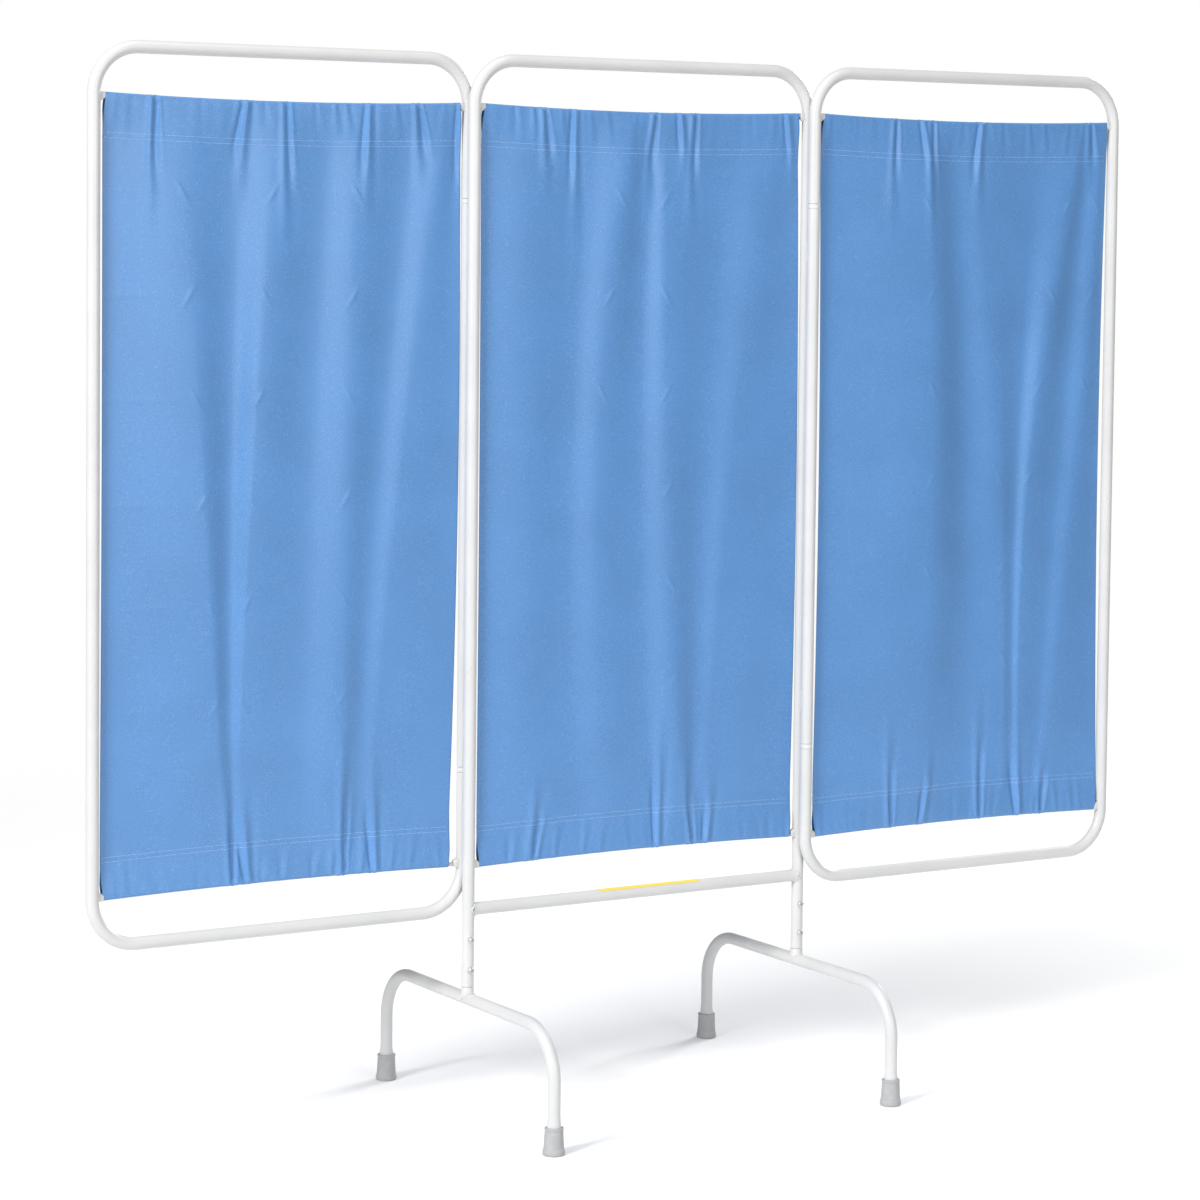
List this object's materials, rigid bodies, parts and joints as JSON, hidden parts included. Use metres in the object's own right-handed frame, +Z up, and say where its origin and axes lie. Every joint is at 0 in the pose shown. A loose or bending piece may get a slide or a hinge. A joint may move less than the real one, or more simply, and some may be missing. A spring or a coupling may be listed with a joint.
{
  "type": "folding curtain screen",
  "caption": "Free-standing folding screen: tube frames on arched feet carry gathered vinyl curtains on rods, and the side panels swing on upright bushings.",
  "frame": {"origin": "on the floor, midway between the four feet", "axes": "+Z up, +X along the opened screen towards the right panel as seen from the front, -Y is the front"},
  "size_m": [2.025, 0.6122, 1.776],
  "materials": {
    "white_paint": "white powder coat, satin",
    "white_nylon": "white nylon, matt",
    "grey_rubber": "moulded grey rubber",
    "screw_steel": "zinc plated steel",
    "rod_steel": "bright drawn steel",
    "blue_vinyl": "blue vinyl sheet, soft sheen",
    "yellow_film": "plain yellow film"
  },
  "bodies": {
    "centre_panel": {"centre_frame": "white_paint", "cross_rail": "white_paint", "marker_strip": "yellow_film", "base_tube_left": "white_paint", "base_post_left": "white_paint", "base_screw_left_lower": "screw_steel", "base_screw_left_upper": "screw_steel", "foot_tip_front_left": "grey_rubber", "foot_tip_back_left": "grey_rubber", "hinge_tube_left": "white_paint", "hinge_weld_left_lower": "white_paint", "hinge_bushing_left_lower": "white_nylon", "hinge_weld_left_upper": "white_paint", "hinge_bushing_left_upper": "white_nylon", "base_tube_right": "white_paint", "base_post_right": "white_paint", "base_screw_right_lower": "screw_steel", "base_screw_right_upper": "screw_steel", "foot_tip_front_right": "grey_rubber", "foot_tip_back_right": "grey_rubber", "hinge_tube_right": "white_paint", "hinge_weld_right_lower": "white_paint", "hinge_bushing_right_lower": "white_nylon", "hinge_weld_right_upper": "white_paint", "hinge_bushing_right_upper": "white_nylon", "centre_top_rod": "rod_steel", "centre_top_hook_left": "white_paint", "centre_top_hook_right": "white_paint", "centre_low_rod": "rod_steel", "centre_low_hook_left": "white_paint", "centre_low_hook_right": "white_paint", "centre_curtain": "blue_vinyl"},
    "left_panel": {"left_frame": "white_paint", "left_top_rod": "rod_steel", "left_top_hook_outer": "white_paint", "left_top_hook_hinge": "white_paint", "left_low_rod": "rod_steel", "left_low_hook_outer": "white_paint", "left_low_hook_hinge": "white_paint", "left_curtain": "blue_vinyl"},
    "right_panel": {"right_frame": "white_paint", "right_top_rod": "rod_steel", "right_top_hook_outer": "white_paint", "right_top_hook_hinge": "white_paint", "right_low_rod": "rod_steel", "right_low_hook_outer": "white_paint", "right_low_hook_hinge": "white_paint", "right_curtain": "blue_vinyl"}
  },
  "joints": [
    {"name": "left_panel_hinge", "type": "hinge", "parent": "centre_panel", "child": "left_panel", "pos_m": [-0.334, 0.0221, 0], "axis": [0, 0, 1], "range_deg": [-180, 16]},
    {"name": "right_panel_hinge", "type": "hinge", "parent": "centre_panel", "child": "right_panel", "pos_m": [0.334, -0.0221, 0], "axis": [0, 0, 1], "range_deg": [-180, 16]}
  ]
}
